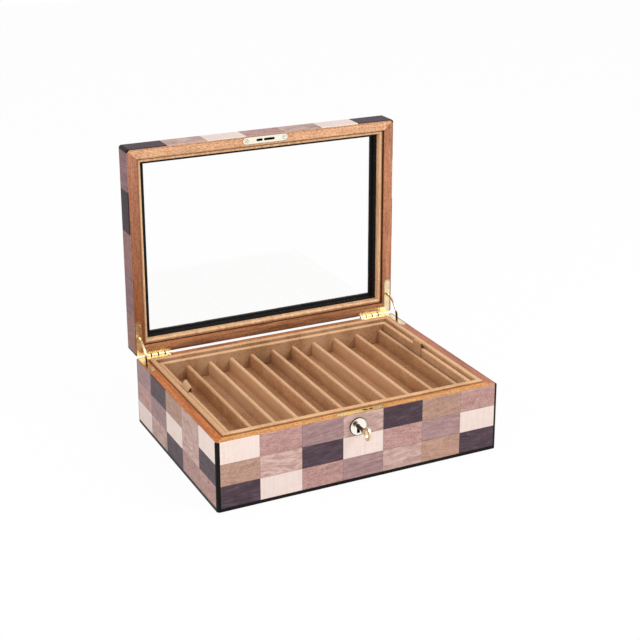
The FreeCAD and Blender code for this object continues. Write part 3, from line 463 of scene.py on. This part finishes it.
def veneer(wood, on_lid):
    """Figure of one sheet: streaks along the grain, warped clouds and bands, grit, and a burr's thin curls.
    Each tile takes its own part of the sheet, its own slope of grain and its own tone."""
    body, dark, pale, streaks, clouds, grit, burr, upright_grain = WOODS[wood]
    finish = Finish(("lid_" if on_lid else "case_") + wood)
    place = in_mm(finish)
    facing = finish.step("TexCoord").outputs["Normal"]
    corner, tile = (LID_CORNER, LID_TILE) if on_lid else (CASE_CORNER, CASE_TILE)
    from_corner = finish.vector("SUBTRACT", place, corner)
    cell = finish.vector("SNAP", from_corner, tile)
    draw = finish.step("TexWhiteNoise", {"Vector": cell}, noise_dimensions="3D").outputs
    sheet = finish.vector("ADD", place, finish.vector("SCALE", draw["Color"], SHEET_JUMP))
    sloped = climbing(finish, sheet, draw["Value"])
    along, across = (ACROSS_GRAIN, ALONG_GRAIN) if upright_grain else (ALONG_GRAIN, ACROSS_GRAIN)
    run = stretched(finish, sloped, (along, along, across))
    streak = noise(finish, run, 4.0, 0.6, 0.3)
    wave = noise(finish, finish.vector("SCALE", run, BAND_STRETCH), 2.0, 0.5, 1.8)
    bands = finish.number("SINE", finish.number("MULTIPLY", wave, BAND_COUNT))
    banded = between(finish, bands, -1.0, 1.0, *BAND_LEVELS)
    cloud = noise(finish, stretched(finish, sheet, CLOUDS), 3.0, 0.5, 1.2)
    fine = noise(finish, stretched(finish, sheet, GRIT), 2.0, 0.6)
    figure = sum_of(finish, [(streak, streaks), (banded, BAND_SHARE * clouds),
                             (cloud, CLOUD_SHARE * clouds), (fine, grit)])
    coloured = ramp(finish, figure, list(zip(VEINS_AT, (dark, body, pale))))
    if burr:
        coloured = blend(finish, burr_marks(finish, sheet, burr), coloured, dark)
    tone = between(finish, draw["Value"], 0.0, 1.0, *TILE_TONE)
    off_face = finish.vector("SCALE", finish.vector("ABSOLUTE", facing), OFF_FACE)
    glued = between(finish, to_seam(finish, from_corner, tile, off_face), 0.0, GLUE_LINE)
    seamed = finish.number("MULTIPLY", tone, between(finish, glued, 0.0, 1.0, GLUE_TONE, 1.0))
    coloured = blend(finish, 1.0, coloured, as_grey(finish, seamed), "MULTIPLY")
    # the lid's dark wood is kept darker, and faces turned to the left get painted shade
    if on_lid:
        deeper = LID_DEEPER.get(wood, (1.0, 1.0, 1.0))
        shaded_left = [d * c for d, c in zip(deeper, LID_LEFT_SHADE)]
        turned = between(finish, finish.parts(facing)[0], *LEFTWARDS)
        tone_and_shade = ramp(finish, turned, [(0.0, (*deeper, 1.0)), (1.0, (*shaded_left, 1.0))])
        coloured = blend(finish, 1.0, coloured, tone_and_shade, "MULTIPLY")
    finish.wire("Base Color", coloured)
    relief(finish, streak, 0.12)
    lacquer(finish)
    return finish.owner


for wood in WOODS:
    dress("case_veneer_" + wood, veneer(wood, False))
    dress("lid_veneer_" + wood, veneer(wood, True))


# ---- Stringing ---------------------------------------------------------------------------
# Dyed black hardwood strips at every upright corner and round the foot, rounded over by hand.
# Under the lacquer they still show a faint long grain, from near black to a paler dark grey.

EBONISED, EBONISED_PALE = srgb(11, 9, 9), srgb(40, 37, 35)
STRING_GRAIN = (0.8, 0.8, 18.0)

strings = Finish("ebonised_string")
string_grain = noise(strings, stretched(strings, in_mm(strings), STRING_GRAIN), 4.0, 0.6)
strings.wire("Base Color", ramp(strings, string_grain, [(0.42, EBONISED), (0.85, EBONISED_PALE)]))
relief(strings, string_grain, 0.1)
lacquer(strings, gloss=0.12, depth=0.06)
for strip in ("case_corner_stringing", "case_foot_stringing", "lid_corner_stringing"):
    dress(strip, strings.owner)


# ---- Suede lining and tray ----------------------------------------------------------------
# Boards wrapped in tan suede line the case, carry the tray and make it up.
# The nap is short: brushed patches read lighter or darker, and the fibre breaks up any highlight.

SUEDE = srgb(219, 170, 128)
SUEDE_DARK = srgb(190, 142, 100)
SUEDE_PALE = srgb(232, 188, 147)
SUEDE_SHEEN = srgb(240, 205, 168)
NAP_BOARDS, NAP_TUFTS = (21.0, 320.0, 90.0), (1.9, 1.9, 2.6)
NAP_PATCHES, NAP_FIBRE = (22.0, 30.0, 18.0), 0.7
NAP_WEIGHTS = (0.65, 0.35, 0.45)           # of boards, patches and tufts
NAP_AT = (0.36, 0.50, 0.64)                # grey where the nap is dark, plain and pale
FUZZ_SHARE, FUZZ_LEVELS = 0.30, [(0.30, 0.6), (0.66, 1.08)]
SHADE_LEFT_RIGHT, SHADE_FRONT_BACK = 0.17, 0.38        # painted shade: upright faces darker, most those facing front or back
UPRIGHT, HIGHLIGHT_FACING = (0.55, 0.10), (0.35, 0.75)      # how far a face looks up, for the painted shade and for the painted highlight
HIGHLIGHT_FROM, HIGHLIGHT_FADE = 58.0, 3.0             # painted highlight on upper edges above this


def nap_of(finish, wide, fine):
    """Brushed patches, each board its own way, with coarse and fine fibre; painted shade darkens upright
    faces and a painted highlight lightens upper edges.
    """
    place = in_mm(finish)
    boards = noise(finish, stretched(finish, place, NAP_BOARDS), 1.0, 0.4)
    patches = noise(finish, stretched(finish, place, wide), 4.0, 0.6, 0.8)
    tufts = noise(finish, stretched(finish, place, NAP_TUFTS), 2.0, 0.6)
    way = sum_of(finish, list(zip((boards, patches, tufts), NAP_WEIGHTS)))
    fibre = noise(finish, stretched(finish, place, (fine, fine, fine)), 3.0, 0.7)
    mottled = ramp(finish, way, list(zip(NAP_AT, (SUEDE_DARK, SUEDE, SUEDE_PALE))))
    brushed = blend(finish, FUZZ_SHARE, mottled, ramp(finish, fibre, FUZZ_LEVELS), "MULTIPLY")
    away = finish.vector("ABSOLUTE", finish.step("TexCoord").outputs["Normal"])
    # painted shade: upright faces darker, most where they face front or back
    painted_shade = finish.vector("DOT_PRODUCT", away, (SHADE_LEFT_RIGHT, SHADE_FRONT_BACK, 0.0))
    up = finish.parts(away)["Z"]
    upright = between(finish, up, *UPRIGHT, 0.0, -1.0)
    kept = finish.number("MULTIPLY_ADD", painted_shade, upright, 1.0)
    shaded = blend(finish, 1.0, brushed, as_grey(finish, kept), "MULTIPLY")
    # painted highlight along the upper edges, broken up by the tufts
    high = between(finish, finish.parts(place)["Z"], HIGHLIGHT_FROM, HIGHLIGHT_FROM + HIGHLIGHT_FADE)
    crest = finish.number("MULTIPLY", high, between(finish, up, *HIGHLIGHT_FACING))
    crest = finish.number("MULTIPLY", crest, tufts)
    return blend(finish, crest, shaded, SUEDE_PALE), fibre


suede = Finish("tan_suede")
suede_colour, suede_fibre = nap_of(suede, NAP_PATCHES, NAP_FIBRE)
suede.wire("Base Color", suede_colour)
suede.sets(Roughness=0.95, Specular_IOR_Level=0.1, Sheen_Weight=0.12, Sheen_Roughness=0.5,
           Sheen_Tint=SUEDE_SHEEN)
relief(suede, suede_fibre, 0.6, 0.0003)
for board in nodes:
    if board.startswith("tray_") or board.endswith(("_lining", "_tray_rest")):
        dress(board, suede.owner)


# ---- Lift ribbons ----------------------------------------------------------------------------
# A soft tan ribbon at each end lifts the tray. Its tail is glued down inside the end wall;
# the loose part stands up in a low crest, lies over the wall and ends in the gap outside it.

RIBBON_WIDE = 17.0
RIBBON_THICK = 0.5
RIBBON_POINTS = 13                         # across its width
#               out from the tray's middle, up from the table
RIBBON_RUN = [(127.48, 54.3), (127.48, 62.0), (127.46, 69.8), (127.2, 74.4), (127.9, 76.8),
              (129.6, 75.4), (131.6, 72.4), (133.0, 71.0), (133.3, 69.6)]
CREST_FROM, CREST_HIGH = 69.5, 6.0
LEAN_SIDEWAYS = 0.35                       # share of the crest's lean that goes along X
EDGE_DROOP = 0.25
#             side, middle of its width, lean, end wall that it lies on
RIBBONS = {
    "left": (-1, 16.0, 1.6, "tray_left_wall"),
    "right": (1, 12.0, -1.2, "tray_right_wall"),
}
RIBBON_PATCHES, RIBBON_FIBRE = (6.0, 6.0, 6.0), 0.5
RIB_COUNT, RIB_SHARE, RIB_LEVELS = 8.0, 0.18, [(0.2, 0.72), (0.8, 1.08)]


def eased(points, rounds=3):
    """Corner cutting: each run gives the points a quarter and three quarters along it, the ends stay."""
    line = np.array(points, float)
    for _ in range(rounds):
        quarter = 0.75 * line[:-1] + 0.25 * line[1:]
        three = 0.25 * line[:-1] + 0.75 * line[1:]
        cut = np.stack((quarter, three), axis=1).reshape(-1, 2)
        line = np.vstack((line[:1], cut, line[-1:]))
    return line


def ribbon_cloth(side, middle, lean):
    """Grid over (run, width): the run's point, moved with width by a lean that is greatest at the crest,
    and lowered towards both edges by the fourth power of the share of the half width."""
    run = eased(RIBBON_RUN)
    steps = np.linspace(-0.5, 0.5, RIBBON_POINTS)
    crest = np.clip((run[:, 1] - CREST_FROM) / CREST_HIGH, 0.0, 1.0)
    out, up = run[:, 0][:, None], run[:, 1][:, None]
    swell = crest[:, None] * steps[None, :]
    x = side * (out - LEAN_SIDEWAYS * lean * swell)
    z = up + lean * swell - EDGE_DROOP * crest[:, None] * (2 * steps[None, :]) ** 4
    y = middle + RIBBON_WIDE * steps[None, :] + 0 * up
    return np.stack((x, y, z), axis=-1) / 1000.0


def woven_piece(name, grid, thick, flipped):
    """Mesh of a grid of points with UV along its two ways, thickened both sides of the grid."""
    rows, columns = grid.shape[:2]
    index = np.arange(rows * columns).reshape(rows, columns)
    corners = (index[:-1, :-1], index[1:, :-1], index[1:, 1:], index[:-1, 1:])
    quads = np.stack(corners, axis=-1).reshape(-1, 4)
    quads = quads[:, ::-1] if flipped else quads
    mesh = bpy.data.meshes.new(name)
    mesh.from_pydata(grid.reshape(-1, 3).tolist(), [], quads.tolist())
    share = np.stack(np.meshgrid(np.linspace(0, 1, columns), np.linspace(0, 1, rows)), axis=-1)
    layer = mesh.uv_layers.new(name="weave")
    layer.data.foreach_set("uv", share.reshape(-1, 2)[quads.reshape(-1)].ravel())
    mesh.polygons.foreach_set("use_smooth", np.ones(len(quads), bool))
    piece = bpy.data.objects.new(name, mesh)
    scene.collection.objects.link(piece)
    body = piece.modifiers.new("thickness", "SOLIDIFY")
    body.thickness = thick / 1000.0
    body.offset = 0.0
    return piece


grosgrain = Finish("tan_ribbon")
ribbon_colour, _ = nap_of(grosgrain, RIBBON_PATCHES, RIBBON_FIBRE)
ribbon_uv = {"Vector": grosgrain.step("TexCoord").outputs["UV"], "Scale": RIB_COUNT}
ribs = grosgrain.step("TexWave", ribbon_uv, bands_direction="Y").outputs["Fac"]
ribbed = blend(grosgrain, RIB_SHARE, ribbon_colour, ramp(grosgrain, ribs, RIB_LEVELS), "MULTIPLY")
grosgrain.wire("Base Color", ribbed)
grosgrain.sets(Roughness=0.8, Specular_IOR_Level=0.15, Sheen_Weight=0.15, Sheen_Roughness=0.4)
relief(grosgrain, ribs, 0.3, 0.0002)
for name, (side, middle, lean, wall) in RIBBONS.items():
    ribbon = woven_piece(name + "_ribbon_cloth", ribbon_cloth(side, middle, lean), RIBBON_THICK, side > 0)
    ribbon.data.materials.append(grosgrain.owner)
    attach(ribbon, "tray")
    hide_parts(name + "_lift_ribbon")


# ---- Glass and its seal --------------------------------------------------------------------
# Four-millimetre float glass in the lid, bedded on a black rubber seal inside the rails.
# The seal's lip lies on the glass and shows as a thin black line all round, inside the bead.

LIP_OUTER = (134.8, 94.8)
LIP_WIDE = (6.2, 4.6)
LIP_DEEP = (125.2, 125.85)
GLASS_TINT = (0.996, 1.0, 0.998, 1)
RUBBER, PALE_RUBBER = srgb(10, 10, 10), srgb(28, 27, 27)
RUBBER_GRAIN = (0.6, 0.6, 0.6)

glass = Finish("float_glass")
glass.sets(Base_Color=GLASS_TINT, Roughness=0.0, IOR=1.28, Transmission_Weight=1.0)
dress("lid_glass", glass.owner)

rubber = Finish("black_seal")
rubber_grain = noise(rubber, stretched(rubber, in_mm(rubber), RUBBER_GRAIN), 3.0, 0.6)
rubber.wire("Base Color", ramp(rubber, rubber_grain, [(0.35, RUBBER), (0.75, PALE_RUBBER)]))
rubber.sets(Roughness=0.65, Specular_IOR_Level=0.2)
relief(rubber, rubber_grain, 0.3)
dress("glass_seal", rubber.owner)


def picture_frame(middle, outer, wide, deep):
    """Four mitred bars: a rectangular section carried round the corners of a rectangle in X and Z."""
    corner = np.array([(-1, -1), (1, -1), (1, 1), (-1, 1)], float)[:, None, :]
    inward = np.array([0, 1, 1, 0], float)[None, :, None]
    reach = corner * (np.array(outer) - inward * np.array(wide))
    y = np.broadcast_to(np.array(deep)[[0, 0, 1, 1]], (4, 4))
    return np.stack((reach[..., 0], y, middle + reach[..., 1]), axis=-1) / 1000.0


def ring_piece(name, rings):
    """Closed mesh of rings of points, each joined to the next and the last to the first."""
    index = np.arange(rings.shape[0] * rings.shape[1]).reshape(rings.shape[:2])
    ahead, beside = np.roll(index, -1, axis=0), np.roll(index, -1, axis=1)
    quads = np.stack((index, ahead, np.roll(ahead, -1, axis=1), beside), axis=-1).reshape(-1, 4)
    mesh = bpy.data.meshes.new(name)
    mesh.from_pydata(rings.reshape(-1, 3).tolist(), [], quads.tolist())
    piece = bpy.data.objects.new(name, mesh)
    scene.collection.objects.link(piece)
    return piece


lip = ring_piece("seal_lip", picture_frame(LID_MIDDLE, LIP_OUTER, LIP_WIDE, LIP_DEEP))
lip.data.materials.append(rubber.owner)
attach(lip, "lid")


# ---- Brass ---------------------------------------------------------------------------------
# Hinge leaves, plates, rose, screws, stays and key are brass, polished and lacquered.
# Leaves and plates are let in flush and screwed down; the joints between knuckles are tarnished,
# corners take tarnish and painted shade, and painted shade darkens edges, screw heads, shank and stays'
# ends.

# brown of tarnish, also the colour of painted shade on the brass
TARNISH_AND_SHADE = srgb(62, 34, 14)
GOLD, PALE_GOLD = srgb(230, 200, 146), srgb(250, 236, 200)
CHAMPAGNE, PALE_CHAMPAGNE = srgb(246, 236, 212), srgb(253, 249, 236)
FACEPLATE, PALE_FACEPLATE = srgb(236, 192, 106), srgb(250, 218, 148)
KEY_GOLD, PALE_KEY = srgb(228, 202, 160), srgb(250, 238, 212)
HAZE, SCRATCHES = (6.0, 6.0, 6.0), (5.0, 0.18, 0.18)
HAZE_DULLS = 0.10                          # roughness that haze adds
CORNER_REACH, CORNER_OPEN = 0.0016, (0.70, 0.25)   # painted shade and tarnish: how near other metal darkens a corner, and how much
PLATE_END = 4.0
LOCK_LINE = -104.6
LOCK_MIDDLE = (0.0, LOCK_LINE, 0.0)
# ROSE_LINE, PLATE_LINE and LINE_FADE size the painted shade inside the rims of the rose and plates
ROSE_MIDDLE, ROSE_RADIUS, ROSE_LINE = (-6.0, 0.0, 58.4), 8.9, 0.65
PLATE_LINE, LINE_FADE = 0.5, 0.25
# painted shade and reflection on the key's shank, from here to here
KEY_SHANK_SHADE = (-124.0, -121.0)
# painted shade on the stays' lower ends, from here to here
STAY_SHADE_BELOW = (83.0, 79.0)
FAR = 99.0
KNUCKLE_JOINTS, KNUCKLE_GAP = (133.1, 125.4, 118.1), (0.9, 0.5)
PIN_LINE, PIN_HALF = (0.0, 111.2, 71.2), 200.0
BARREL_EDGE = (2.4, 2.1)
SCREW_EDGE = (1.70, 2.05)
CASE_SCREWS = [(145.0, 75.2, 0.0), (114.2, 106.8, 0.0), (21.1, LOCK_LINE, 0.0)]
LID_SCREWS = [(145.0, 0.0, 107.2), (114.2, 0.0, 75.6), (21.1, 0.0, STRIKE_LINE)]


def brass(name, deep, bright, gloss, dark_line=None):
    """Hazy polished metal, brown in its corners from tarnish and painted shade, and along a line given."""
    finish = Finish(name)
    place = in_mm(finish)
    haze = noise(finish, stretched(finish, place, HAZE), 4.0, 0.6)
    scratch = noise(finish, stretched(finish, place, SCRATCHES), 2.0, 0.5)
    colour = ramp(finish, haze, [(0.3, deep), (0.7, bright)])
    # tarnish and painted shade in corners, where other metal of the piece is near
    corner_shade_and_tarnish = finish.step("AmbientOcclusion", {"Distance": CORNER_REACH}, samples=8, only_local=True)
    colour = blend(finish, between(finish, corner_shade_and_tarnish.outputs["AO"], *CORNER_OPEN), colour, TARNISH_AND_SHADE)
    if dark_line:
        colour = blend(finish, dark_line(finish, place), colour, TARNISH_AND_SHADE)
    finish.wire("Base Color", colour)
    finish.wire("Roughness", ramp(finish, haze, [(0.3, gloss), (0.7, gloss + HAZE_DULLS)]))
    finish.sets(Metallic=1.0)
    relief(finish, scratch, 0.05, 0.0001)
    return finish.owner


def shaded_edge_of(middle, radius, half=0.0, line=PLATE_LINE):
    """Painted shade: a dark line inside the outline of a round-ended plate, for the shadow at its seat's
    edge.
    """
    return lambda finish, place: between(finish, from_middle(finish, place, middle, half),
                                         radius - line, radius - line + LINE_FADE)


def knuckle_joints(finish, place):
    """Dark joints between a hinge's knuckles, which stand at the same places left and right."""
    level = finish.number("ABSOLUTE", finish.parts(place)[0])
    nearest = FAR
    for joint in KNUCKLE_JOINTS:
        off = finish.number("ABSOLUTE", finish.number("SUBTRACT", level, joint))
        nearest = finish.number("MINIMUM", off, nearest)
    barrel = between(finish, from_middle(finish, place, PIN_LINE, PIN_HALF), *BARREL_EDGE)
    return finish.number("MULTIPLY", between(finish, nearest, *KNUCKLE_GAP), barrel)


def shaded_below(finish, place):
    """Painted shade darkens the end of a stay that runs down in its slot."""
    return between(finish, finish.parts(place)["Z"], *STAY_SHADE_BELOW)


def shaded_shank(finish, place):
    """Painted shade and painted reflection on the key's shank, clearing towards the bow."""
    return between(finish, finish.parts(place)["Y"], *KEY_SHANK_SHADE)


def shaded_screw_edges(spots):
    """Painted shade: a dark line round each screw's head; the screws stand in pairs left and right."""
    def ring(finish, place):
        ways = finish.parts(finish.vector("ABSOLUTE", place))
        real = finish.parts(place)
        pairs = finish.step("CombineXYZ", {0: ways[0], 1: real[1], 2: real[2]}).outputs[0]
        nearest = FAR
        for spot in spots:
            nearest = finish.number("MINIMUM", from_middle(finish, pairs, spot), nearest)
        return between(finish, nearest, *SCREW_EDGE)
    return ring


#             pieces, deep colour, bright colour, roughness, dark line: the knuckles' joints, elsewhere
#             painted shade
BRASSES = {
    "hinge_brass": (("left_case_hinge_leaf", "right_case_hinge_leaf", "left_lid_hinge_leaf",
                     "right_lid_hinge_leaf"), GOLD, PALE_GOLD, 0.22, knuckle_joints),
    "rose_brass": (("escutcheon",), PALE_CHAMPAGNE, PALE_CHAMPAGNE, 0.18,
                   shaded_edge_of(ROSE_MIDDLE, ROSE_RADIUS, line=ROSE_LINE)),
    "stay_brass": (("left_stay", "right_stay"), GOLD, PALE_GOLD, 0.20, shaded_below),
    "key_brass": (("key",), KEY_GOLD, PALE_KEY, 0.20, shaded_shank),
    "strike_brass": (("strike_plate",), CHAMPAGNE, PALE_CHAMPAGNE, 0.25,
                     shaded_edge_of(STRIKE_MIDDLE, PLATE_END, PLATE_HALF)),
    "faceplate_brass": (("lock_faceplate",), FACEPLATE, PALE_FACEPLATE, 0.25,
                        shaded_edge_of(LOCK_MIDDLE, PLATE_END, PLATE_HALF)),
    "case_screw_brass": (("case_screws",), CHAMPAGNE, PALE_CHAMPAGNE, 0.20, shaded_screw_edges(CASE_SCREWS)),
    "lid_screw_brass": (("lid_screws",), CHAMPAGNE, PALE_CHAMPAGNE, 0.20, shaded_screw_edges(LID_SCREWS)),
}

for metal, (pieces, *look) in BRASSES.items():
    polished = brass(metal, *look)
    for piece in pieces:
        dress(piece, polished)


# ---- Steel ---------------------------------------------------------------------------------
# The lock's case, cover and claw are sawn from sheet and brushed; the hinge pins are blued rod.
# The claw stands in the case's slot, the pins are driven through the knuckles.

BRUSHED = (8.0, 0.3, 0.3)
#             pieces, darkest and brightest grey
STEELS = {
    "lock_steel": (("lock_case", "lock_cover", "hook_claw"), srgb(70, 70, 70), srgb(120, 120, 120)),
    "pin_steel": (("hinge_pins",), srgb(40, 40, 40), srgb(70, 70, 70)),
}

for metal, (pieces, dull, clean) in STEELS.items():
    steel = Finish(metal)
    brushing = noise(steel, stretched(steel, in_mm(steel), BRUSHED), 3.0, 0.6)
    steel.wire("Base Color", ramp(steel, brushing, [(0.3, dull), (0.7, clean)]))
    steel.wire("Roughness", ramp(steel, brushing, [(0.3, 0.25), (0.7, 0.4)]))
    steel.sets(Metallic=1.0)
    for piece in pieces:
        dress(piece, steel.owner)


# ---- Baize ---------------------------------------------------------------------------------
# A sheet of dark wool baize, cut to the foot and glued under the bottom.
# It keeps the lacquer off the table; its fuzz is short, uneven and takes no shine.

BAIZE, PALE_BAIZE = srgb(24, 22, 22), srgb(58, 52, 50)
BAIZE_FUZZ = (0.4, 0.4, 0.4)

baize = Finish("dark_baize")
fuzz = noise(baize, stretched(baize, in_mm(baize), BAIZE_FUZZ), 4.0, 0.7)
baize.wire("Base Color", ramp(baize, fuzz, [(0.3, BAIZE), (0.7, PALE_BAIZE)]))
baize.sets(Roughness=1.0, Sheen_Weight=0.3)
relief(baize, fuzz, 0.8, 0.0003)
dress("base_felt", baize.owner)
